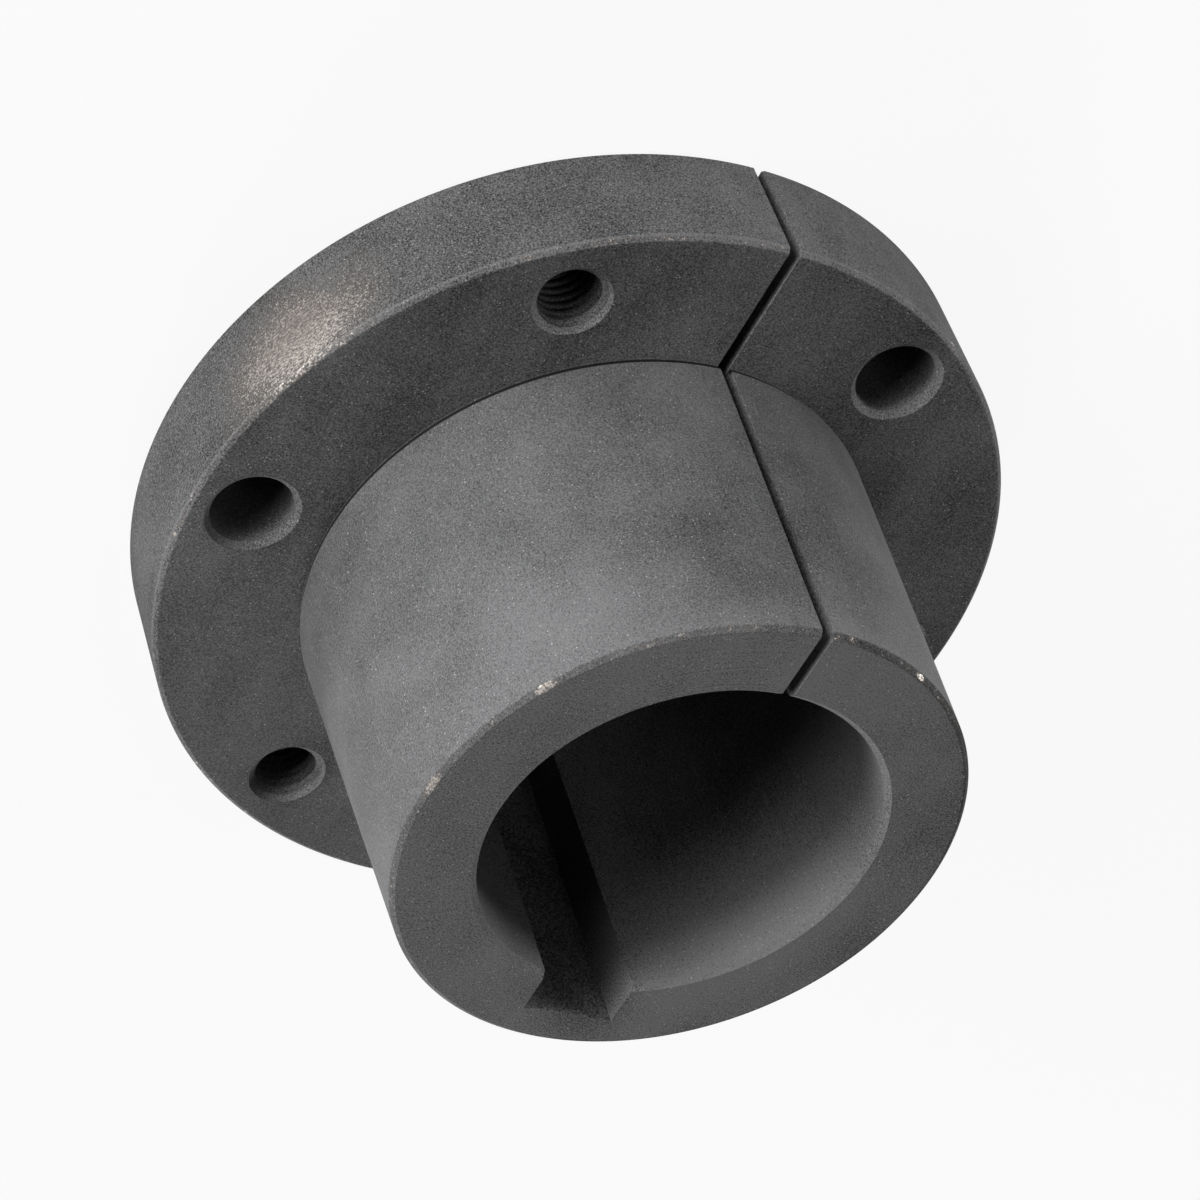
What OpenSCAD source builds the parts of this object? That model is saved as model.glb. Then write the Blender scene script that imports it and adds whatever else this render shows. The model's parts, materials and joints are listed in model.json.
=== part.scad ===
// Quick disconnect bushing: a split, tapered hub with a screw flange, in millimetres.
// The flange lies on Z = 0 and the hub stands up along +Z, with its keyway towards +Y
// and its slit towards -Y. The origin is the middle of the flange's outer face.

/* [Flange] */
// From the hub's root to the middle of the screw holes
screw_inset = 15.1; // [12:0.1:24]
// From the middle of the screw holes out to the flange's rim
rim_margin = 12.7; // [11:0.1:30]
// Thickness of the flange
flange_t = 25.4; // [16:0.1:40]
// Edge break on both corners of the flange's rim
rim_break = 0.9; // [0.2:0.1:2]

/* [Hub] */
// Hub diameter at its large end, where it meets the flange
hub_d = 112.7; // [106:0.1:120]
// Length of the tapered hub above the flange
hub_l = 69.85; // [40:0.05:110]
// Taper of the hub: diameter lost for each millimetre of length (3/4 inch to the foot)
hub_taper = 0.0625; // [0.02:0.0005:0.08]
// Edge break on the outside of the hub's nose
nose_break = 0.9; // [0.2:0.1:3]
// Width along the axis of the tool relief round the root of the hub
relief_w = 1.2; // [0.4:0.1:3]
// Depth of that relief below the hub's surface
relief_depth = 0.4; // [0.1:0.1:1.5]

/* [Bore] */
// Diameter of the shaft bore
bore_d = 76.2; // [60:0.1:80]
// Edge break at both ends of the bore
bore_break = 1.2; // [0.2:0.1:2.5]
// Width of the keyway
key_w = 19.05; // [10:0.05:22]
// Depth of the keyway, measured at its side walls
key_depth = 9.55; // [4:0.05:10]

/* [Slit] */
// Width of the slit that lets the bushing close on the shaft
slit_w = 2.5; // [1:0.1:5]

/* [Screw holes] */
// Number of plain holes, with as many tapped holes between them
screw_pairs = 3; // [2:1:4]
// Diameter of the plain holes that the cap screws pass through
plain_d = 15.9; // [8:0.1:18]
// Edge break at the mouths of the plain holes
plain_break = 1.2; // [0.2:0.1:2]
// Outside diameter of the thread in the tapped holes
thread_d = 14.3; // [8:0.1:18]
// Pitch of that thread (12 turns to the inch)
thread_pitch = 2.1167; // [1:0.0001:2.5]
// How much wider than the thread the countersunk mouths are, on the diameter
sink_extra = 1.1; // [0.2:0.1:3]

/* [Key screw] */
// Diameter of the headless screw over the keyway
grub_d = 9.5; // [5:0.1:12]
// Length of that screw
grub_l = 19; // [12:0.1:30]
// Width across the flats of its hexagon socket
grub_socket_w = 4.8; // [2:0.1:6]
// Depth of its hexagon socket
grub_socket_depth = 5.2; // [2:0.1:8]
// How far the screw's outer end lies inside the flange's rim
grub_sunk = 14.7; // [0:0.1:18]
// Clearance between the screw and its hole, on the radius
grub_clearance = 0.1; // [0.05:0.05:0.3]

/* [Hidden] */
$fn = 96;
over = 1;                             // how far each cut runs past the metal
full_l = flange_t + hub_l;
hub_r = hub_d / 2;
screw_circle_r = hub_r + screw_inset;
flange_r = screw_circle_r + rim_margin;
bore_r = bore_d / 2;
slope = hub_taper / 2;                // radius lost for each millimetre of length
nose_r = hub_r - slope * hub_l;
// The keyway's depth counts from where its side walls meet the bore
key_floor = sqrt(pow(bore_r, 2) - pow(key_w / 2, 2)) + key_depth;
// A full 60 degree thread takes 1.299 pitches off the diameter, and taps cut 3/4 of it
core_d = thread_d - 0.75 * 1.299 * thread_pitch;
screw_step = 360 / screw_pairs;
slit_angle = -90;
grub_point_h = grub_d / 6;            // height of the cone round the screw's point
steel = [0.27, 0.27, 0.28];
dark_steel = [0.16, 0.16, 0.17];

// Half section of flange and hub, turned about the axis
module turned_body() {
    rotate_extrude()
        polygon([
            [bore_r + bore_break, 0],
            [flange_r - rim_break, 0],
            [flange_r, rim_break],
            [flange_r, flange_t - rim_break],
            [flange_r - rim_break, flange_t],
            [hub_r - relief_depth, flange_t],
            [hub_r - relief_depth, flange_t + relief_w],
            [hub_r - slope * relief_w, flange_t + relief_w],
            [nose_r + slope * nose_break, full_l - nose_break],
            [nose_r - nose_break, full_l],
            [bore_r + bore_break, full_l],
            [bore_r, full_l - bore_break],
            [bore_r, bore_break],
        ]);
}

// The keyway runs the whole length of the bore
module keyway() {
    translate([-key_w / 2, 0, -over])
        cube([key_w, key_floor, full_l + 2 * over]);
}

// One radial slit through flange and hub, opposite the keyway
module slit() {
    rotate(slit_angle)
        translate([0, -slit_w / 2, -over])
            cube([flange_r + over, slit_w, full_l + 2 * over]);
}

// A hole through the flange, opened out to mouth_d at 45 degrees on both faces
module mouthed_hole(hole_d, mouth_d) {
    sink = (mouth_d - hole_d) / 2;
    translate([0, 0, -over])
        cylinder(d = hole_d, h = flange_t + 2 * over);
    for (face = [0, 1])
        translate([0, 0, face * flange_t])
            mirror([0, 0, face])
                translate([0, 0, -over])
                    cylinder(d1 = mouth_d + 2 * over, d2 = hole_d, h = sink + over);
}

// Plain and tapped holes take turns round one circle, with the slit midway between two
module screw_holes() {
    for (i = [0 : screw_pairs - 1]) {
        rotate(slit_angle + (i - 0.25) * screw_step)
            translate([screw_circle_r, 0, 0])
                mouthed_hole(plain_d, plain_d + 2 * plain_break);
        rotate(slit_angle + (i + 0.25) * screw_step)
            translate([screw_circle_r, 0, 0])
                mouthed_hole(core_d, thread_d + sink_extra);
    }
}

// Lays what stands along +Z along +Y instead, half way up the flange
module over_key() {
    translate([0, 0, flange_t / 2])
        rotate([-90, 0, 0])
            children();
}

module bushing() {
    color(steel)
        difference() {
            turned_body();
            keyway();
            slit();
            screw_holes();
            over_key()
                translate([0, 0, bore_r])
                    cylinder(d = grub_d + 2 * grub_clearance, h = flange_r - bore_r + over);
        }
}

module key_screw() {
    color(dark_steel)
        over_key()
            translate([0, 0, flange_r - grub_sunk - grub_l])
                difference() {
                    union() {
                        cylinder(d1 = grub_d - 2 * grub_point_h, d2 = grub_d, h = grub_point_h);
                        translate([0, 0, grub_point_h])
                            cylinder(d = grub_d, h = grub_l - grub_point_h);
                    }
                    // Cup in the point
                    translate([0, 0, -over])
                        cylinder(d1 = grub_d / 2 + 2 * over, d2 = 0, h = grub_d / 4 + over);
                    // Hexagon socket, open towards the flange's rim
                    translate([0, 0, grub_l - grub_socket_depth])
                        cylinder(r = grub_socket_w / sqrt(3), h = grub_socket_depth + over, $fn = 6);
                }
}

bushing();
key_screw();
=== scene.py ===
import json
import math

import bpy
from mathutils import Matrix, Vector


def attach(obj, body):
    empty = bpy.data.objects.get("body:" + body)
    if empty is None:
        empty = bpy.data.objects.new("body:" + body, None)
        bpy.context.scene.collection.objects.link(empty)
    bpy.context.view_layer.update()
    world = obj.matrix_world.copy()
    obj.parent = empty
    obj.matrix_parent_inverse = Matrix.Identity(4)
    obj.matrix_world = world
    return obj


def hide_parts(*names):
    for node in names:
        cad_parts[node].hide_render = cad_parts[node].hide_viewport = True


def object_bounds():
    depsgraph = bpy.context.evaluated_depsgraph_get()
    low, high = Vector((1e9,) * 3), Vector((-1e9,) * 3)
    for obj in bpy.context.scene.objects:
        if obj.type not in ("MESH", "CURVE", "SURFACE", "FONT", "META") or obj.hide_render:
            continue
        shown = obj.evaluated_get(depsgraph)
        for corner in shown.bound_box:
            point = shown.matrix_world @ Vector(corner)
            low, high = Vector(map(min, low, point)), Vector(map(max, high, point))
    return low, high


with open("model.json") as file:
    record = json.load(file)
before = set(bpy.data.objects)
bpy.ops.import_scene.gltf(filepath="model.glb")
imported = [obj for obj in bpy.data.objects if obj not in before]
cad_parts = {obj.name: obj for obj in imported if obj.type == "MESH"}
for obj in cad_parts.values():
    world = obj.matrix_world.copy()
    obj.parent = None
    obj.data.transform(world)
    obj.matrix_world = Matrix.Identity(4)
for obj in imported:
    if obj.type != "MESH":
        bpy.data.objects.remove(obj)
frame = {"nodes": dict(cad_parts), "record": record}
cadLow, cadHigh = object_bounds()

mm = 0.001
mounts = {m["name"]: m for m in frame["record"]["mounts"]}
print("frame loaded:", sorted(frame["nodes"]))


def deselectAll():
    if bpy.context.object and bpy.context.object.mode != "OBJECT":
        bpy.ops.object.mode_set(mode="OBJECT")
    bpy.ops.object.select_all(action="DESELECT")


def makeActive(piece):
    deselectAll()
    piece.select_set(True)
    bpy.context.view_layer.objects.active = piece


def applyPlace(piece):  # a finished piece keeps its place in its mesh
    makeActive(piece)
    bpy.ops.object.transform_apply(location=True, rotation=True, scale=True)


def roundCorners(profile, radius, steps=3):
    result = []
    for i, point in enumerate(profile):
        if i == 0 or i == len(profile) - 1:
            result.append(point)
            continue
        here, before, after = Vector(point), Vector(profile[i - 1]), Vector(profile[i + 1])
        inward, outward = (before - here).normalized(), (after - here).normalized()
        turn = math.pi - inward.angle(outward)
        if turn < 0.1:  # radians, too slight a corner to round
            result.append(point)
            continue
        # less than half a side, so that two curves on it stay apart
        longest = min((before - here).length, (after - here).length) / 2.2
        reach = min(radius * math.tan(turn / 2), longest)
        start, end = here + inward * reach, here + outward * reach
        for k in range(steps + 1):  # a curve through the corner's two ends
            t = k / steps
            result.append(tuple(start * (1 - t) ** 2 + here * 2 * t * (1 - t) + end * t ** 2))
    return result


# A closed solid turned about an upright axis, from (radius, height) points in millimetres
def turnedSolid(name, profile, centre=(0, 0), segments=96):
    (radius, height), x, y = profile[0], centre[0] * mm, centre[1] * mm
    deselectAll()
    bpy.ops.mesh.primitive_circle_add(
        vertices=segments, radius=radius * mm, fill_type="NGON", location=(x, y, height * mm))
    piece = bpy.context.object
    piece.name = name
    applyPlace(piece)
    bpy.ops.object.mode_set(mode="EDIT")
    bpy.ops.mesh.select_all(action="SELECT")
    for nextRadius, nextHeight in profile[1:]:
        bpy.ops.mesh.extrude_region_move(
            TRANSFORM_OT_translate={"value": (0, 0, (nextHeight - height) * mm)})
        scale = nextRadius / radius
        bpy.ops.transform.resize(value=(scale, scale, 1), center_override=(x, y, nextHeight * mm))
        radius, height = nextRadius, nextHeight
    bpy.ops.mesh.select_all(action="SELECT")
    bpy.ops.mesh.normals_make_consistent(inside=False)
    bpy.ops.object.mode_set(mode="OBJECT")
    return piece


def blockBetween(name, low, high):
    deselectAll()
    middle = [(a + b) / 2 * mm for a, b in zip(low, high)]
    bpy.ops.mesh.primitive_cube_add(size=1, location=middle)
    piece = bpy.context.object
    piece.name = name
    bpy.ops.transform.resize(value=[(b - a) * mm for a, b in zip(low, high)])
    applyPlace(piece)
    return piece


def cutAway(piece, cutter):
    makeActive(piece)
    cut = piece.modifiers.new("cut", "BOOLEAN")
    cut.object = cutter
    cut.operation = "DIFFERENCE"
    cut.solver = "EXACT"
    bpy.ops.object.modifier_apply(modifier=cut.name)
    bpy.data.objects.remove(cutter)


# The helical ridge that cuts a 60 degree thread: outwards from a hole's wall, or inwards
# from a rod's, where rootRadius is the smaller one
def threadCoil(name, wallRadius, rootRadius, pitch, low, high, centre=(0, 0), steps=48):
    depth = abs(rootRadius - wallRadius)
    overlap = 0.25         # how far the ridge reaches back past the wall that it cuts
    rootHalf = pitch / 16  # the groove's floor is an eighth of the pitch wide
    flankAngle = math.radians(30)
    mouthHalf = rootHalf + (depth + overlap) * math.tan(flankAngle)
    outwards = rootRadius > wallRadius
    mouthRadius = wallRadius - overlap if outwards else wallRadius + overlap
    middle = (rootRadius + mouthRadius) / 2
    deselectAll()
    bpy.ops.mesh.primitive_plane_add(
        size=1, location=(middle * mm, 0, low * mm), rotation=(math.pi / 2, 0, 0))
    coil = bpy.context.object
    coil.name = name
    coil.scale = (abs(rootRadius - mouthRadius) * mm, 2 * mouthHalf * mm, 1)
    applyPlace(coil)
    # the plane stands upright beside the axis, and its root side narrows to the groove's section
    bpy.ops.object.mode_set(mode="EDIT")
    bpy.ops.mesh.select_mode(type="VERT")
    bpy.ops.mesh.select_all(action="DESELECT")
    bpy.ops.object.mode_set(mode="OBJECT")
    for corner in coil.data.vertices:
        corner.select = (corner.co.x > middle * mm) == outwards
    bpy.ops.object.mode_set(mode="EDIT")
    bpy.ops.transform.resize(
        value=(1, 1, rootHalf / mouthHalf), center_override=(middle * mm, 0, low * mm))
    bpy.ops.mesh.select_all(action="SELECT")
    bpy.ops.mesh.delete(type="ONLY_FACE")
    bpy.ops.object.mode_set(mode="OBJECT")
    screw = coil.modifiers.new("thread", "SCREW")
    screw.axis = "Z"
    screw.steps = screw.render_steps = steps
    screw.iterations = math.ceil((high - low) / pitch)
    screw.screw_offset = pitch * mm
    bpy.ops.object.modifier_apply(modifier=screw.name)
    bpy.ops.object.mode_set(mode="EDIT")
    bpy.ops.mesh.select_all(action="SELECT")
    bpy.ops.mesh.fill_holes(sides=4)
    bpy.ops.mesh.select_all(action="SELECT")
    bpy.ops.mesh.normals_make_consistent(inside=False)
    bpy.ops.transform.translate(value=(centre[0] * mm, centre[1] * mm, 0))
    bpy.ops.object.mode_set(mode="OBJECT")
    return coil


# Sizes in millimetres. The main ones come from the frame, the rest repeat the drawing.
flange = {
    "radius": cadHigh.x / mm,
    "thickness": 2 * mounts["screw_circle_plain"]["pos_m"][2] / mm,  # the mount is halfway up
    "edgeBreak": 0.9,      # chamfer on both rim corners
    "edgeRound": 0.25,     # how far tumbling has rounded the sharp corners
    "segments": 360,
}
hub = {
    "rootRadius": 56.35,
    "length": cadHigh.z / mm - flange["thickness"],
    "taper": 0.0625 / 2,   # radius lost for each millimetre of length
    "noseBreak": 0.9,
    "noseFace": 1.0,       # how far the outline runs in over the nose, past its edge break
    "reliefWidth": 1.2,    # tool relief round the hub's root
    "reliefDepth": 0.4,
}
hub["noseRadius"] = hub["rootRadius"] - hub["taper"] * hub["length"]
bore = {
    "radius": mounts["shaft_bore"]["dims"]["r_mm"],
    "edgeBreak": 1.2,
    "keyWidth": 19.05,
    "keyDepth": 9.55,      # at the keyway's side walls
    "slitWidth": 2.5,
    "segments": 240,
}
screwHoles = {
    "circle": mounts["screw_circle_plain"]["dims"]["pcd_mm"] / 2,
    "plainRadius": mounts["screw_circle_plain"]["dims"]["hole_r_mm"],
    "plainBreak": 1.2,
    "plainAngles": (0, 120, 240),
    "coreRadius": mounts["screw_circle_tapped"]["dims"]["hole_r_mm"],
    "threadRadius": 7.15,
    "pitch": 2.1167,       # 12 turns to the inch
    "sinkRadius": 7.7,
    "tappedAngles": (60, 180, 300),
}
keyScrew = {               # the headless screw over the keyway
    "radius": 4.72,
    "coreRadius": 3.98,    # of its tapped hole
    "clearRadius": 4.85,   # of the hole behind the thread, round the screw itself
    "pitch": 1.5875,       # 16 turns to the inch
    "threadDepth": 0.5417,  # of its own thread, as a share of the pitch
    "length": 19.0,
    "sunk": 14.7,          # its outer end lies this far inside the rim
    "endGap": 0.3,         # from that end to where the hole narrows to its thread
    "endBreak": 0.4,
    "pointHeight": 1.6,
    "cupRadius": 2.4,
    "cupFloor": 0.05,      # radius of the flat at the bottom of the cup
    "mouthBreak": 0.6,
    "socketWidth": 4.8,
    "socketDepth": 5.2,
}
over = 2.0                 # how far each cutter runs past the metal


def onCircle(angle):
    turn = math.radians(angle)
    return screwHoles["circle"] * math.cos(turn), screwHoles["circle"] * math.sin(turn)


def openedHole(radius, mouth, depth):  # outline of a drill that breaks both ends at 45 degrees
    sink = mouth - radius
    return [(mouth + over, -over), (mouth, 0), (radius, sink),
            (radius, depth - sink), (mouth, depth), (mouth + over, depth + over)]


def layOverKey(piece, start):  # turns what stands along +Z to lie along +Y, halfway up the flange
    piece.rotation_euler = (-math.pi / 2, 0, 0)
    piece.location = (0, start * mm, flange["thickness"] / 2 * mm)
    applyPlace(piece)
    return piece


def makeBushing():
    top, rim, chamfer = flange["thickness"], flange["radius"], flange["edgeBreak"]
    nose = top + hub["length"]
    outline = [
        (rim - chamfer, 0), (rim, chamfer), (rim, top - chamfer), (rim - chamfer, top),
        (hub["rootRadius"] - hub["reliefDepth"], top),
        (hub["rootRadius"] - hub["reliefDepth"], top + hub["reliefWidth"]),
        (hub["rootRadius"] - hub["taper"] * hub["reliefWidth"], top + hub["reliefWidth"]),
        (hub["noseRadius"] + hub["taper"] * hub["noseBreak"], nose - hub["noseBreak"]),
        (hub["noseRadius"] - hub["noseBreak"], nose),
        (hub["noseRadius"] - hub["noseBreak"] - hub["noseFace"], nose),
    ]
    body = turnedSolid("bushingBody", roundCorners(outline, flange["edgeRound"]),
                       segments=flange["segments"])
    boreLine = openedHole(bore["radius"], bore["radius"] + bore["edgeBreak"], nose)
    cutAway(body, turnedSolid("boreCutter", boreLine, segments=bore["segments"]))
    half = bore["keyWidth"] / 2
    keyFloor = math.sqrt(bore["radius"] ** 2 - half ** 2) + bore["keyDepth"]
    cutAway(body, blockBetween("keyCutter", (-half, 0, -over), (half, keyFloor, nose + over)))
    half = bore["slitWidth"] / 2
    cutAway(body, blockBetween("slitCutter", (-half, -rim - over, -over), (half, 0, nose + over)))
    radius = screwHoles["plainRadius"]
    for angle in screwHoles["plainAngles"]:
        line = openedHole(radius, radius + screwHoles["plainBreak"], top)
        cutAway(body, turnedSolid("plainDrill", line, onCircle(angle)))
    pitch = screwHoles["pitch"]
    for angle in screwHoles["tappedAngles"]:
        line = openedHole(screwHoles["coreRadius"], screwHoles["sinkRadius"], top)
        cutAway(body, turnedSolid("tapDrill", line, onCircle(angle)))
        cutAway(body, threadCoil("tap", screwHoles["coreRadius"], screwHoles["threadRadius"],
                                 pitch, -pitch, top + pitch, onCircle(angle)))
    print("bushing turned, bored, slit and drilled")
    return body


def tapOverKey(body):  # the radial hole that the key screw sits in
    start, rim = bore["radius"], flange["radius"]
    core, wide, pitch = keyScrew["coreRadius"], keyScrew["clearRadius"], keyScrew["pitch"]
    screwEnd = rim - keyScrew["sunk"] - start + keyScrew["endGap"]
    mouth = rim - start
    sink = keyScrew["radius"] - core + keyScrew["mouthBreak"]
    line = [(wide, 0), (wide, screwEnd), (core, screwEnd + wide - core),
            (core, mouth - sink), (core + sink + over, mouth + over)]
    cutAway(body, layOverKey(turnedSolid("keyScrewDrill", line), start))
    coil = threadCoil("keyScrewTap", core, keyScrew["radius"], pitch, screwEnd, mouth + pitch)
    cutAway(body, layOverKey(coil, start))


def makeKeyScrew():
    length, radius, pitch = keyScrew["length"], keyScrew["radius"], keyScrew["pitch"]
    point, cup, chamfer = keyScrew["pointHeight"], keyScrew["cupRadius"], keyScrew["endBreak"]
    # the outline runs round the cup in the point, up the side and ends at the socket's face
    outline = [(keyScrew["cupFloor"], cup), (cup, 0), (radius - point, 0), (radius, point),
               (radius, length - chamfer), (radius - chamfer, length),
               (radius - 1.5 * chamfer, length)]
    screw = turnedSolid("keyScrewBody", outline, segments=64)
    root = radius - keyScrew["threadDepth"] * pitch
    cutAway(screw, threadCoil("keyScrewThread", radius, root, pitch, point, length + pitch))
    deselectAll()
    bpy.ops.mesh.primitive_cylinder_add(
        vertices=6, radius=keyScrew["socketWidth"] / math.sqrt(3) * mm,
        depth=2 * keyScrew["socketDepth"] * mm, location=(0, 0, length * mm))
    cutAway(screw, bpy.context.object)
    layOverKey(screw, flange["radius"] - keyScrew["sunk"] - length)
    return screw


def finishMesh(piece):
    makeActive(piece)
    bpy.ops.object.mode_set(mode="EDIT")
    bpy.ops.mesh.select_all(action="SELECT")
    bpy.ops.mesh.remove_doubles(threshold=0.001 * mm)  # the cuts leave doubled points
    bpy.ops.object.mode_set(mode="OBJECT")
    bpy.ops.object.shade_smooth_by_angle(angle=math.radians(25))
    print(piece.name, "has", len(piece.data.polygons), "faces")


bushing = makeBushing()
tapOverKey(bushing)
finishMesh(bushing)
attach(bushing, "root")
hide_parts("bushing")

screwBody = makeKeyScrew()
finishMesh(screwBody)
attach(screwBody, "root")
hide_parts("key_screw")


def linear(hexColour):  # sRGB hex to the linear colour that shaders take
    values = [int(hexColour[i:i + 2], 16) / 255 for i in (1, 3, 5)]
    return [v / 12.92 if v <= 0.04045 else ((v + 0.055) / 1.055) ** 2.4 for v in values] + [1]


def newMaterial(name):
    material = bpy.data.materials.new(name)
    material.use_nodes = True
    return material, material.node_tree.nodes["Principled BSDF"]


def addNode(material, kind, inputs=None, **settings):
    node = material.node_tree.nodes.new("ShaderNode" + kind)
    for key, value in settings.items():
        setattr(node, key, value)
    for key, value in (inputs or {}).items():
        if isinstance(value, bpy.types.NodeSocket):
            material.node_tree.links.new(value, node.inputs[key])
        else:
            node.inputs[key].default_value = value
    return node


coat = {
    "dark": "#1f1f1f",
    "light": "#767677",
    "crevice": "#0c0c0c",    # painted shade: nearly black, along the relief at the hub's root
    "speck": "#c2c2c4",      # painted glints: crystals of the coat that face the lamps
    "thin": "#6c655f",       # coat worn thin round the bare metal
    "bareDark": "#7c7671",   # metal where the coat is rubbed through
    "bareLight": "#dfd7cf",
    "roughness": 0.65,
    "bareRoughness": 0.42,
    "specular": 0.3,         # the crystals scatter most of the gloss
    "bump": (0.6, 0.06),     # strength and height of the crystals
    "lineHeight": 0.6,       # of the turning lines, as a share of the crystals'
    # sizes of the patterns in millimetres, and how far each one shifts the tone
    "grainSize": 0.34,       # the crystals are finer; this is the finest that shows
    "grainShare": 2.2,
    "mottleSize": 24.0,
    "mottleShare": 0.6,
    "smearSize": (9.0, 30.0, 15.0),
    "smearShare": 0.5,
    "lineSpacing": 0.45,     # feed of the turning tool on the nose
    "lineSpot": (-70, 46, (7.5, 11, 20)),  # where they show as a painted sheen: angle, radius and half sizes
    "lineFade": 0.5,
    "streakSize": (0.5, 0.9, 0.42),  # of the bare metal: outwards, round the rim, upwards
    # painted glints: crystals made lighter in the colour
    "speckSpacing": 0.65,
    "speckReach": (0.26, 0.08),  # edge and full brightness, as shares of the spacing
    "speckRarity": 4.0,      # the higher, the fewer of them are bright
    # how light the coat is on each surface, from dark 0 to light 1: partly its own tone, partly painted
    # light and shade, darkest on the flange's face beside the hub
    "tones": {"rim": 0.46, "face": 0.09, "taper": 0.61, "nose": 0.74, "bore": 0.68},
    # what is added to that by place, all of it set against the photograph
    "rimDepth": (1.6, 0.6),  # the rim's own look fades in between these depths below it
    "rimLift": (-0.1, 0.18),  # painted shade and light along X: darker on the patch's side of the rim, lighter past the slit
    "rimLiftEnd": -30.0,     # the X where that lift is complete
    "noseLift": 0.12,        # painted light over the last stretch before the nose
    "noseReach": 28.0,
    "edgeWidth": 1.0,        # of the painted highlight and shade, and of the worn flecks, along the flange's and the nose's edge
    # painted highlight along the flange's edge break
    "flangeEdgeLift": 0.15,
    "cornerWidth": 0.45,     # of the painted highlight, a thin line where the rim's edge break starts
    "cornerLift": 0.28,
    "noseEdgeLift": (-0.2, -0.7),  # painted shade on the nose's edge break, on the slit's +X side and on its -X side
    "slitFade": 4.0,         # it changes over this distance on both sides of the slit
    "mouthLift": 0.25,       # painted light at the mouths of the screw holes
    "mouthDepth": (6.0, 2.0),  # it fades in between these depths
    "rootLine": {"rise": 0.75, "width": 0.8},  # painted shade: a dark line round the hub's root
    # painted light and shade: lighter and darker spots on the hub, the nose's face, the flange's face,
    # the bore
    # and the keyway: angle, radius, height, half sizes outwards, round and upwards, and how much lighter
    "smudgeFade": 0.8,
    "smudges": (
        (-50, 55, 88, (8, 20, 14), 0.19),
        (-83, 55, 72, (8, 19, 18), -0.2),
        (-98, 45, 95, (12, 20, 6), 0.22),
        (-170, 47, 95, (12, 34, 6), -0.2),
        (-32, 71, 25, (16, 38, 3), -0.08),
        (145, 38, 90, (6, 24, 14), 0.4),
        (90, 43, 60, (6, 11, 60), -0.5),
    ),
    # the rubbed patch on the rim: angle round the bore, height and half sizes
    "patch": {"angle": -24.5, "height": 18.0, "halfDepth": 8.0, "halfWidth": 15.0,
              "halfHeight": 12.0, "fade": 0.6},
    # rubbed spots on the nose's outer edge: angle and half length
    "nicks": ((-4, 3.2), (-34, 2.2), (-115, 1.6)),
    "nickInset": 0.4,
    "nickHalfWidth": 0.8,
    # worn flecks along the edges: size, how much the smears gather them, from where they
    # start to where they are strongest, and how strong that is
    "fleckSize": 1.5,
    "fleckSmear": 0.5,
    "fleckRange": (0.72, 1.0),
    "fleckMost": 0.8,
    "thinShare": 0.5,        # how far rubbing thins the coat
    "rubShare": 0.75,        # how far it bares the metal
    "bareRange": (1.48, 1.92),
    "shineRange": (0.8, 1.3),  # of the metal, from bareDark to bareLight
    "faceShine": (-0.08, 0.14),  # it is brighter next to the flange's face
    "faceShineReach": (11.0, 1.0),
}


# 1 inside an oval that lies on a turned surface, fading to 0 at its edge
def ovalMask(material, place, angle, radius, height, halfSizes, ragged, fade=0.35):
    turn = math.radians(angle)
    local = addNode(material, "Mapping", {
        "Vector": place,
        "Location": (radius * mm * math.cos(turn), radius * mm * math.sin(turn), height * mm),
        "Rotation": (0, 0, turn),
        "Scale": [size * mm for size in halfSizes],
    }, vector_type="TEXTURE")
    reach = addNode(material, "VectorMath", {0: local.outputs[0]}, operation="LENGTH")
    raggedness = 1.3
    border = 1 + raggedness / 2  # the noise is about a half on average
    uneven = addNode(material, "Math", {0: ragged, 1: raggedness, 2: reach.outputs["Value"]},
                     operation="MULTIPLY_ADD")
    return addNode(material, "MapRange", {
        "Value": uneven.outputs[0], "From Min": border + fade, "From Max": border - fade}).outputs[0]


# 1 along a turned edge, given by its radius and height, fading to 0 at width
def edgeMask(material, section, radius, height, width):
    away = addNode(material, "VectorMath", {0: section, 1: (radius * mm, height * mm, 0)},
                   operation="DISTANCE")
    return addNode(material, "MapRange", {
        "Value": away.outputs["Value"], "From Min": width * mm,
        "From Max": width / 2 * mm}).outputs[0]
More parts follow.
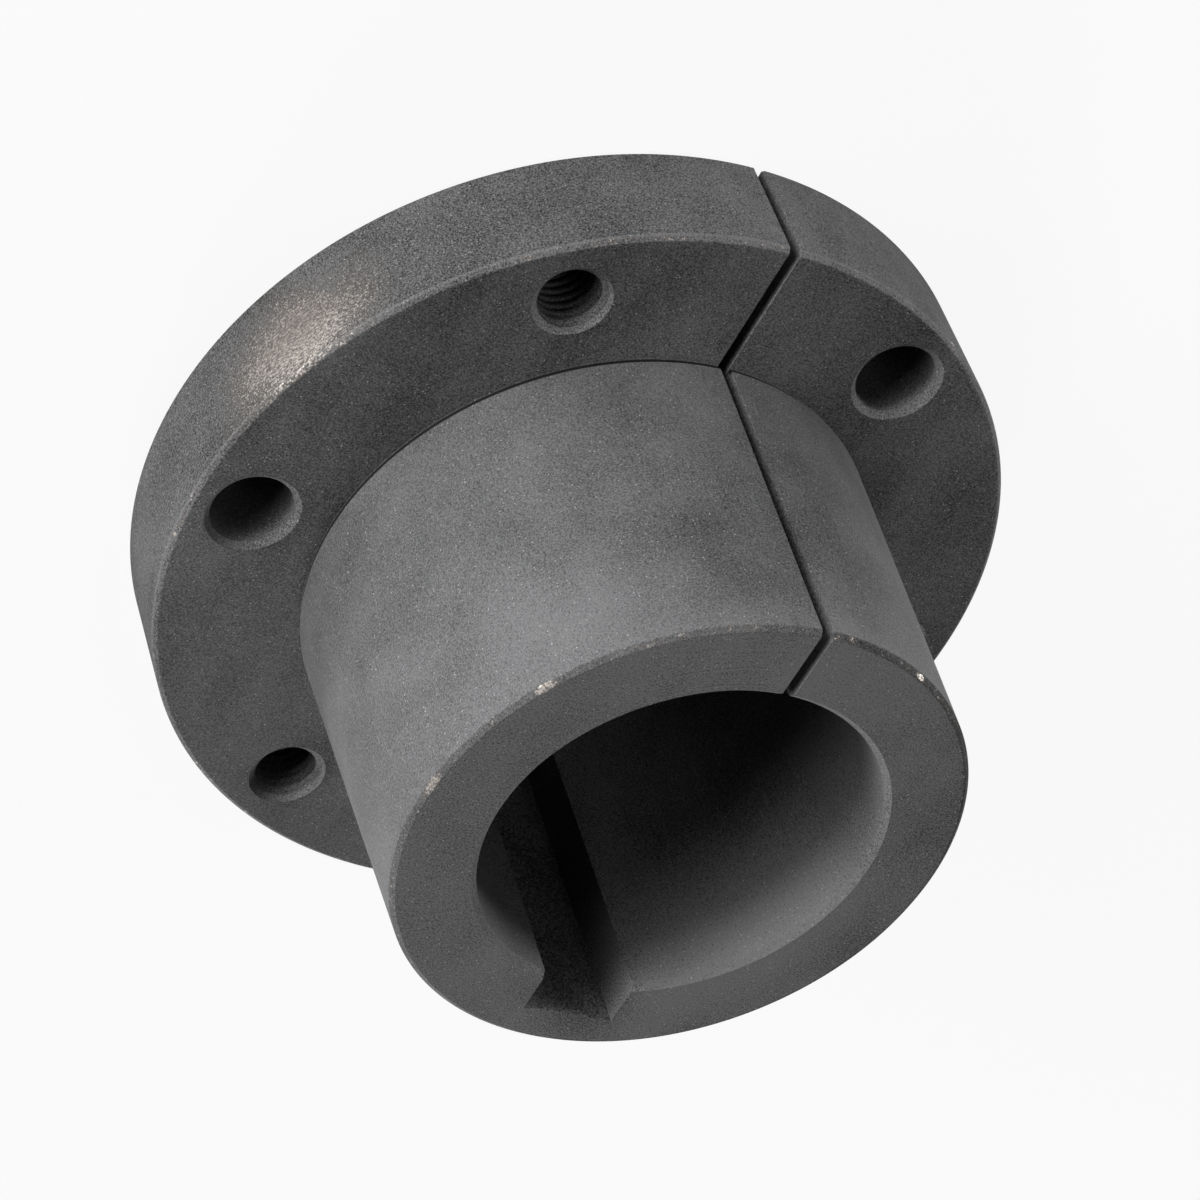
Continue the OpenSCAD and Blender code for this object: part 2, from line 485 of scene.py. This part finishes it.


# Manganese phosphate on turned steel: dead matt, dark grey crystals with painted glints here and there,
# lighter smears where it was handled, painted light and shade by place, and bare metal where edges and
# rim were rubbed
def phosphatedSteel():
    material, shader = newMaterial("phosphatedSteel")
    place = addNode(material, "TexCoord").outputs["Object"]
    parts = addNode(material, "SeparateXYZ", {0: place})
    flat = addNode(material, "CombineXYZ", {"X": parts.outputs["X"], "Y": parts.outputs["Y"]})
    radius = addNode(material, "VectorMath", {0: flat.outputs[0]}, operation="LENGTH").outputs["Value"]
    section = addNode(material, "CombineXYZ", {"X": radius, "Y": parts.outputs["Z"]}).outputs[0]

    grain = addNode(material, "TexNoise", {
        "Vector": place, "Scale": 1 / (coat["grainSize"] * mm), "Detail": 2.0, "Roughness": 0.6})
    mottle = addNode(material, "TexNoise", {
        "Vector": place, "Scale": 1 / (coat["mottleSize"] * mm), "Detail": 4.0, "Distortion": 0.4})
    stretched = addNode(material, "Mapping", {
        "Vector": place, "Rotation": (0.5, 0.2, 0.6),
        "Scale": [1 / (size * mm) for size in coat["smearSize"]]})
    smear = addNode(material, "TexNoise", {"Vector": stretched.outputs[0], "Scale": 1.0, "Detail": 3.0})

    # each turned surface has its own tone, told apart here by height: partly the coat's own, partly
    # painted light and shade
    top, full = flange["thickness"], flange["thickness"] + hub["length"]
    ceiling = full + 1   # just above the nose
    slack = 0.05         # a face's tone starts this little below it
    hubStart = top + 0.3  # and the hub's within its relief
    height = addNode(material, "MapRange", {
        "Value": parts.outputs["Z"], "From Min": 0.0, "From Max": ceiling * mm})
    ramp = addNode(material, "ValToRGB", {"Fac": height.outputs[0]})
    ramp.color_ramp.interpolation = "CONSTANT"
    steps = [(0.0, "rim"), (top - slack, "face"), (hubStart, "taper"), (full - slack, "nose")]
    while len(ramp.color_ramp.elements) < len(steps):
        ramp.color_ramp.elements.new(1.0)
    for element, (start, name) in zip(ramp.color_ramp.elements, steps):
        element.position = start / ceiling
        element.color = [coat["tones"][name]] * 3 + [1]

    # turning lines on part of the nose, in the bump and as a painted sheen in the colour, where they
    # catch the light
    lines = addNode(material, "TexNoise", {
        "W": addNode(material, "Math", {0: radius, 1: 1 / (coat["lineSpacing"] * mm)},
                     operation="MULTIPLY").outputs[0],
        "Scale": 1.0, "Detail": 2.0}, noise_dimensions="1D")
    # the nose's flat face alone: its edge breaks lie lower than this
    onNose = addNode(material, "MapRange", {
        "Value": parts.outputs["Z"], "From Min": (full - 0.08) * mm, "From Max": (full - 0.04) * mm})
    lineAngle, lineRadius, lineSizes = coat["lineSpot"]
    lineSpot = ovalMask(material, place, lineAngle, lineRadius, full, lineSizes,
                        smear.outputs["Fac"], coat["lineFade"])
    linesShow = addNode(material, "Math", {0: onNose.outputs[0], 1: lineSpot}, operation="MULTIPLY")
    lineTone = addNode(material, "Math", {0: lines.outputs["Fac"], 1: 0.5}, operation="SUBTRACT")
    lineTone = addNode(material, "Math", {0: lineTone.outputs[0], 1: linesShow.outputs[0]},
                       operation="MULTIPLY")

    # between the two ends, all that lies inside the nose's edge is bore, keyway or slit
    between = addNode(material, "ValToRGB", {"Fac": height.outputs[0]})
    between.color_ramp.interpolation = "CONSTANT"
    between.color_ramp.elements.new(0.5)
    starts = ((0, 0), (slack, 1), (full - slack, 0))
    for element, (start, inside) in zip(between.color_ramp.elements, starts):
        element.position = start / ceiling
        element.color = (inside, inside, inside, 1)
    margin = 0.1  # millimetres to spare beside an edge
    inner = addNode(material, "Math", {
        0: radius, 1: (hub["noseRadius"] - hub["noseBreak"] - margin) * mm}, operation="LESS_THAN")
    inBore = addNode(material, "Math", {0: inner.outputs[0], 1: between.outputs["Color"]},
                     operation="MULTIPLY")
    tone = addNode(material, "Mix", {
        0: inBore.outputs[0], 2: ramp.outputs["Color"], 3: coat["tones"]["bore"]}).outputs[0]

    for pattern, share in ((grain, coat["grainShare"]), (mottle, coat["mottleShare"]),
                           (smear, coat["smearShare"])):
        swing = addNode(material, "Math", {0: pattern.outputs["Fac"], 1: 0.5}, operation="SUBTRACT")
        tone = addNode(material, "Math", {0: swing.outputs[0], 1: share, 2: tone},
                       operation="MULTIPLY_ADD").outputs[0]
    # painted light: the hub lighter over its last stretch before the nose
    nearNose = addNode(material, "MapRange", {
        "Value": parts.outputs["Z"], "From Min": (full - coat["noseReach"]) * mm,
        "From Max": full * mm})
    onRim = addNode(material, "MapRange", {
        "Value": radius, "From Min": (flange["radius"] - coat["rimDepth"][0]) * mm,
        "From Max": (flange["radius"] - coat["rimDepth"][1]) * mm}).outputs[0]
    # painted shade and light on the rim: darker on its +X side, lighter past the slit
    across = addNode(material, "MapRange", {
        "Value": parts.outputs["X"], "From Min": flange["radius"] * mm,
        "From Max": coat["rimLiftEnd"] * mm,
        "To Min": coat["rimLift"][0], "To Max": coat["rimLift"][1]})
    # along the flange's edge break: a painted highlight, and worn flecks
    inset = flange["edgeBreak"] / 2
    flangeEdge = edgeMask(material, section, flange["radius"] - inset, top - inset,
                          coat["edgeWidth"])
    # along the nose's edge break: painted shade, and worn flecks
    inset = hub["noseBreak"] / 2
    noseEdge = edgeMask(material, section, hub["noseRadius"] - inset, full - inset,
                        coat["edgeWidth"])
    # painted light: the mouths of the screw holes are a little lighter than the walls below them
    ringWidth = screwHoles["plainRadius"] + screwHoles["plainBreak"] + margin
    nearCircle = addNode(material, "Math", {
        0: radius, 1: screwHoles["circle"] * mm, 2: ringWidth * mm}, operation="COMPARE")
    underFace = addNode(material, "Math", {0: parts.outputs["Z"], 1: (top - slack) * mm},
                        operation="LESS_THAN")
    fadeStart, fadeEnd = coat["mouthDepth"]
    nearMouth = addNode(material, "MapRange", {
        "Value": parts.outputs["Z"], "From Min": (top - fadeStart) * mm,
        "From Max": (top - fadeEnd) * mm})
    mouth = addNode(material, "Math", {0: nearCircle.outputs[0], 1: underFace.outputs[0]},
                    operation="MULTIPLY")
    mouth = addNode(material, "Math", {0: mouth.outputs[0], 1: nearMouth.outputs[0]},
                    operation="MULTIPLY")
    # painted shade: beyond the slit the nose's edge break is darker
    pastSlit = addNode(material, "MapRange", {
        "Value": parts.outputs["X"], "From Min": coat["slitFade"] * mm,
        "From Max": -coat["slitFade"] * mm,
        "To Min": coat["noseEdgeLift"][0], "To Max": coat["noseEdgeLift"][1]})
    # the crystals stand out more on the rim, the nose, in the bore and at the holes' mouths
    coarse = addNode(material, "Math", {0: onRim, 1: onNose.outputs[0]}, operation="MAXIMUM")
    coarse = addNode(material, "Math", {0: coarse.outputs[0], 1: inBore.outputs[0]}, operation="MAXIMUM")
    coarse = addNode(material, "Math", {0: coarse.outputs[0], 1: mouth.outputs[0]}, operation="MAXIMUM")
    moreGrain = addNode(material, "Math", {0: grain.outputs["Fac"], 1: 0.5}, operation="SUBTRACT")
    # painted highlight: a thin light line where the rim's edge break starts
    rimCorner = edgeMask(material, section, flange["radius"], top - flange["edgeBreak"],
                         coat["cornerWidth"])
    # painted light and shade by place, with the turning lines and the coarser grain, each added to the
    # tone
    lifts = [(lineTone.outputs[0], 1.0), (nearNose.outputs[0], coat["noseLift"]),
             (onRim, across.outputs[0]), (flangeEdge, coat["flangeEdgeLift"]),
             (rimCorner, coat["cornerLift"]), (noseEdge, pastSlit.outputs[0]),
             (mouth.outputs[0], coat["mouthLift"]), (coarse.outputs[0], moreGrain.outputs[0])]
    for angle, radiusHere, heightHere, halfSizes, lift in coat["smudges"]:
        spot = ovalMask(material, place, angle, radiusHere, heightHere, halfSizes,
                        mottle.outputs["Fac"], coat["smudgeFade"])
        lifts.append((spot, lift))
    for mask, lift in lifts:
        tone = addNode(material, "Math", {0: mask, 1: lift, 2: tone},
                       operation="MULTIPLY_ADD").outputs[0]
    colour = addNode(material, "Mix", {
        0: tone, 6: linear(coat["dark"]), 7: linear(coat["light"])}, data_type="RGBA").outputs[2]

    # painted glints: crystals lighter in the colour, many faintly, a few brightly
    cells = addNode(material, "TexVoronoi", {
        "Vector": place, "Scale": 1 / (coat["speckSpacing"] * mm)})
    dot = addNode(material, "MapRange", {
        "Value": cells.outputs["Distance"], "From Min": coat["speckReach"][0],
        "From Max": coat["speckReach"][1]})
    pick = addNode(material, "SeparateColor", {0: cells.outputs["Color"]})
    chosen = addNode(material, "Math", {0: pick.outputs[0], 1: coat["speckRarity"]},
                     operation="POWER")
    speck = addNode(material, "Math", {0: dot.outputs[0], 1: chosen.outputs[0]}, operation="MULTIPLY")
    colour = addNode(material, "Mix", {
        0: speck.outputs[0], 6: colour, 7: linear(coat["speck"])}, data_type="RGBA").outputs[2]

    # rubbed through: the patch on the rim, the nicks and the flecks along two edges
    patch = coat["patch"]
    oval = ovalMask(material, place, patch["angle"], flange["radius"], patch["height"],
                    (patch["halfDepth"], patch["halfWidth"], patch["halfHeight"]),
                    smear.outputs["Fac"], patch["fade"])
    bareSpots = [addNode(material, "Math", {0: oval, 1: onRim}, operation="MULTIPLY").outputs[0]]
    inset, halfWidth = coat["nickInset"], coat["nickHalfWidth"]
    for angle, halfLength in coat["nicks"]:
        bareSpots.append(ovalMask(material, place, angle, hub["noseRadius"] - inset, full - inset,
                                  (halfWidth, halfLength, halfWidth), mottle.outputs["Fac"]))
    fleckNoise = addNode(material, "TexNoise", {
        "Vector": place, "Scale": 1 / (coat["fleckSize"] * mm), "Detail": 3.0})
    unevenly = addNode(material, "Math", {
        0: smear.outputs["Fac"], 1: coat["fleckSmear"], 2: fleckNoise.outputs["Fac"]},
        operation="MULTIPLY_ADD")
    patchy = addNode(material, "MapRange", {
        "Value": unevenly.outputs[0], "From Min": coat["fleckRange"][0],
        "From Max": coat["fleckRange"][1], "To Max": coat["fleckMost"]})
    for edge in (flangeEdge, noseEdge):
        bareSpots.append(addNode(material, "Math", {0: edge, 1: patchy.outputs[0]},
                                 operation="MULTIPLY").outputs[0])
    rubbed = bareSpots[0]
    for spot in bareSpots[1:]:
        rubbed = addNode(material, "Math", {0: rubbed, 1: spot}, operation="MAXIMUM").outputs[0]
    worn = addNode(material, "Math", {0: rubbed, 1: coat["thinShare"]}, operation="MULTIPLY")
    colour = addNode(material, "Mix", {
        0: worn.outputs[0], 6: colour, 7: linear(coat["thin"])}, data_type="RGBA").outputs[2]
    # bare metal starts on the crystals that stand highest, in streaks along the rim
    alongRim = addNode(material, "Mapping", {
        "Vector": place, "Rotation": (0, 0, math.radians(patch["angle"])),
        "Scale": [size * mm for size in coat["streakSize"]]}, vector_type="TEXTURE")
    streak = addNode(material, "TexNoise", {"Vector": alongRim.outputs[0], "Scale": 1.0, "Detail": 2.0})
    high = addNode(material, "Math", {0: streak.outputs["Fac"], 1: grain.outputs["Fac"]}, operation="ADD")
    through = addNode(material, "Math", {0: rubbed, 1: coat["rubShare"], 2: high.outputs[0]},
                      operation="MULTIPLY_ADD")
    bare = addNode(material, "MapRange", {
        "Value": through.outputs[0], "From Min": coat["bareRange"][0],
        "From Max": coat["bareRange"][1]}).outputs[0]
    # the rubbed metal is brightest next to the flange's face
    far, near = coat["faceShineReach"]
    nearFace = addNode(material, "MapRange", {
        "Value": parts.outputs["Z"], "From Min": (top - far) * mm, "From Max": (top - near) * mm,
        "To Min": coat["faceShine"][0], "To Max": coat["faceShine"][1]})
    bright = addNode(material, "Math", {0: high.outputs[0], 1: nearFace.outputs[0]}, operation="ADD")
    shine = addNode(material, "MapRange", {
        "Value": bright.outputs[0], "From Min": coat["shineRange"][0],
        "From Max": coat["shineRange"][1]})
    metal = addNode(material, "Mix", {
        0: shine.outputs[0], 6: linear(coat["bareDark"]), 7: linear(coat["bareLight"])},
        data_type="RGBA")
    colour = addNode(material, "Mix", {
        0: bare, 6: colour, 7: metal.outputs[2]}, data_type="RGBA").outputs[2]

    # painted shade: the relief round the hub's root is drawn as a thin dark line
    rootLine = edgeMask(material, section, hub["rootRadius"] - hub["reliefDepth"],
                        top + coat["rootLine"]["rise"], coat["rootLine"]["width"])
    colour = addNode(material, "Mix", {
        0: rootLine, 6: colour, 7: linear(coat["crevice"])}, data_type="RGBA").outputs[2]

    rough = addNode(material, "MapRange", {
        "Value": bare, "To Min": coat["roughness"], "To Max": coat["bareRoughness"]})
    relief = addNode(material, "Math", {
        0: lineTone.outputs[0], 1: coat["lineHeight"], 2: grain.outputs["Fac"]},
        operation="MULTIPLY_ADD")
    bump = addNode(material, "Bump", {
        "Strength": coat["bump"][0], "Distance": coat["bump"][1] * mm, "Height": relief.outputs[0]})
    shader.inputs["Specular IOR Level"].default_value = coat["specular"]
    links = material.node_tree.links
    links.new(colour, shader.inputs["Base Color"])
    links.new(bare, shader.inputs["Metallic"])
    links.new(rough.outputs[0], shader.inputs["Roughness"])
    links.new(bump.outputs[0], shader.inputs["Normal"])
    return material


oxide = {
    "dark": "#19191b",
    "light": "#2f2f33",
    "filmSize": 1.2,            # of the cloudy patches in the oiled film
    "roughness": (0.3, 0.48),
    "bump": (0.2, 0.02),        # strength and height
}


# Black oxide on an alloy steel screw: near black, with the satin look of thin oil
def blackOxideSteel():
    material, shader = newMaterial("blackOxideSteel")
    place = addNode(material, "TexCoord").outputs["Object"]
    film = addNode(material, "TexNoise", {
        "Vector": place, "Scale": 1 / (oxide["filmSize"] * mm), "Detail": 3.0})
    colour = addNode(material, "Mix", {
        0: film.outputs["Fac"], 6: linear(oxide["dark"]), 7: linear(oxide["light"])},
        data_type="RGBA").outputs[2]
    rough = addNode(material, "MapRange", {
        "Value": film.outputs["Fac"], "From Min": 0.3, "From Max": 0.7,
        "To Min": oxide["roughness"][0], "To Max": oxide["roughness"][1]})
    bump = addNode(material, "Bump", {
        "Strength": oxide["bump"][0], "Distance": oxide["bump"][1] * mm,
        "Height": film.outputs["Fac"]})
    links = material.node_tree.links
    links.new(colour, shader.inputs["Base Color"])
    links.new(rough.outputs[0], shader.inputs["Roughness"])
    links.new(bump.outputs[0], shader.inputs["Normal"])
    return material


for piece, finish in ((bushing, phosphatedSteel()), (screwBody, blackOxideSteel())):
    piece.data.materials.clear()
    piece.data.materials.append(finish)
print("finishes made")

# Camera: the photograph's view, found by fitting the rings of the flange, nose and bore
view = {
    "target": (-0.99, -0.91, 30.93),  # millimetres
    "distance": 755.07,
    "azimuth": 42.42,                 # 0 looks along +Y
    "elevation": 43.24,
    "roll": 159.6,                    # the photograph shows the hub pointing down
    "lens": 118.4,
    "sensor": 36,
}


def lookFrom(azimuth, elevation):
    a, e = math.radians(azimuth), math.radians(elevation)
    return Vector((math.sin(a) * math.cos(e), -math.cos(a) * math.cos(e), math.sin(e)))


def addCamera():
    data = bpy.data.cameras.new("camera")
    data.lens, data.sensor_width = view["lens"], view["sensor"]
    camera = bpy.data.objects.new("camera", data)
    bpy.context.scene.collection.objects.link(camera)
    away = lookFrom(view["azimuth"], view["elevation"])
    camera.location = (Vector(view["target"]) + away * view["distance"]) * mm
    upright = (-away).to_track_quat("-Z", "Y").to_matrix()
    camera.rotation_euler = (upright @ Matrix.Rotation(math.radians(view["roll"]), 3, "Z")).to_euler()
    bpy.context.scene.camera = camera


# Softboxes round the object: azimuth, elevation, distance, width and height in metres, watts
studio = {
    "key": (70, 7, 1.4, 1.2, 0.3, 14.5),
    "highKey": (80, 16, 1.4, 1.5, 0.65, 11.5),
    "fill": (-60, 8, 1.4, 0.7, 0.22, 8),
    "highFill": (-20, 60, 1.4, 0.7, 0.35, 2.5),
    "back": (190, 20, 1.4, 0.7, 0.35, 10),
}
room = {
    "world": 0.015,          # what little light comes from all round
    "aim": 0.04,             # metres above the floor, where the lamps point
    "floor": "#f4f4f4",
    "floorRoughness": 0.9,
    "floorGlow": 0.9,
    "floorDrop": 0.2,        # millimetres below the flange, so that the two don't share a plane
    "clearance": 0.2,        # metres from the axis to where mirrored rays see the full glow
    "backdropRadius": 6.0,   # metres, of a low wall that closes the view from the side
    "backdropHeight": 1.2,
}


def addSoftbox(name, azimuth, elevation, distance, width, height, watts):
    data = bpy.data.lights.new(name, "AREA")
    data.shape, data.size, data.size_y, data.energy = "RECTANGLE", width, height, watts
    lamp = bpy.data.objects.new(name, data)
    bpy.context.scene.collection.objects.link(lamp)
    away = lookFrom(azimuth, elevation)
    lamp.location = Vector((0, 0, room["aim"])) + away * distance
    lamp.rotation_euler = away.to_track_quat("Z", "Y").to_euler()


# A pale floor and a low wall all round it. Both show white to the camera and to mirrored rays
# but light the object no more than their colour does.
def addFloor():
    deselectAll()
    bpy.ops.mesh.primitive_plane_add(
        size=2 * room["backdropRadius"], location=(0, 0, -room["floorDrop"] * mm))
    floor = bpy.context.object
    floor.name = "floor"
    applyPlace(floor)
    deselectAll()
    bpy.ops.mesh.primitive_cylinder_add(
        vertices=64, radius=room["backdropRadius"], depth=room["backdropHeight"],
        end_fill_type="NOTHING", location=(0, 0, room["backdropHeight"] / 2))
    backdrop = bpy.context.object
    backdrop.name = "backdrop"
    applyPlace(backdrop)
    material, shader = newMaterial("paleFloor")
    shader.inputs["Base Color"].default_value = linear(room["floor"])
    shader.inputs["Roughness"].default_value = room["floorRoughness"]
    path = addNode(material, "LightPath")
    mirrored = addNode(material, "Math", {
        0: path.outputs["Is Glossy Ray"], 1: path.outputs["Is Transmission Ray"]}, operation="MAXIMUM")
    # reflections don't see white under the object or right beside it
    place = addNode(material, "TexCoord").outputs["Object"]
    away = addNode(material, "VectorMath", {0: place}, operation="LENGTH")
    clear = addNode(material, "MapRange", {
        "Value": away.outputs["Value"], "From Min": flange["radius"] * mm,
        "From Max": room["clearance"]})
    mirrored = addNode(material, "Math", {0: mirrored.outputs[0], 1: clear.outputs[0]},
                       operation="MULTIPLY")
    seen = addNode(material, "Math", {
        0: path.outputs["Is Camera Ray"], 1: mirrored.outputs[0]}, operation="MAXIMUM")
    share = addNode(material, "Math", {0: seen.outputs[0], 1: room["floorGlow"]}, operation="MULTIPLY")
    glow = addNode(material, "Emission")
    mix = addNode(material, "MixShader", {0: share.outputs[0], 1: shader.outputs[0], 2: glow.outputs[0]})
    output = material.node_tree.nodes["Material Output"]
    material.node_tree.links.new(mix.outputs[0], output.inputs["Surface"])
    for stage in (floor, backdrop):
        stage.data.materials.append(material)


addCamera()
addFloor()
for name, lamp in studio.items():
    addSoftbox(name, *lamp)
world = bpy.data.worlds.new("studio")
world.use_nodes = True
background = world.node_tree.nodes["Background"]
background.inputs["Color"].default_value = (1, 1, 1, 1)
background.inputs["Strength"].default_value = room["world"]
bpy.context.scene.world = world
bpy.context.scene.view_settings.view_transform = "Standard"
print("camera, floor and lamps placed")
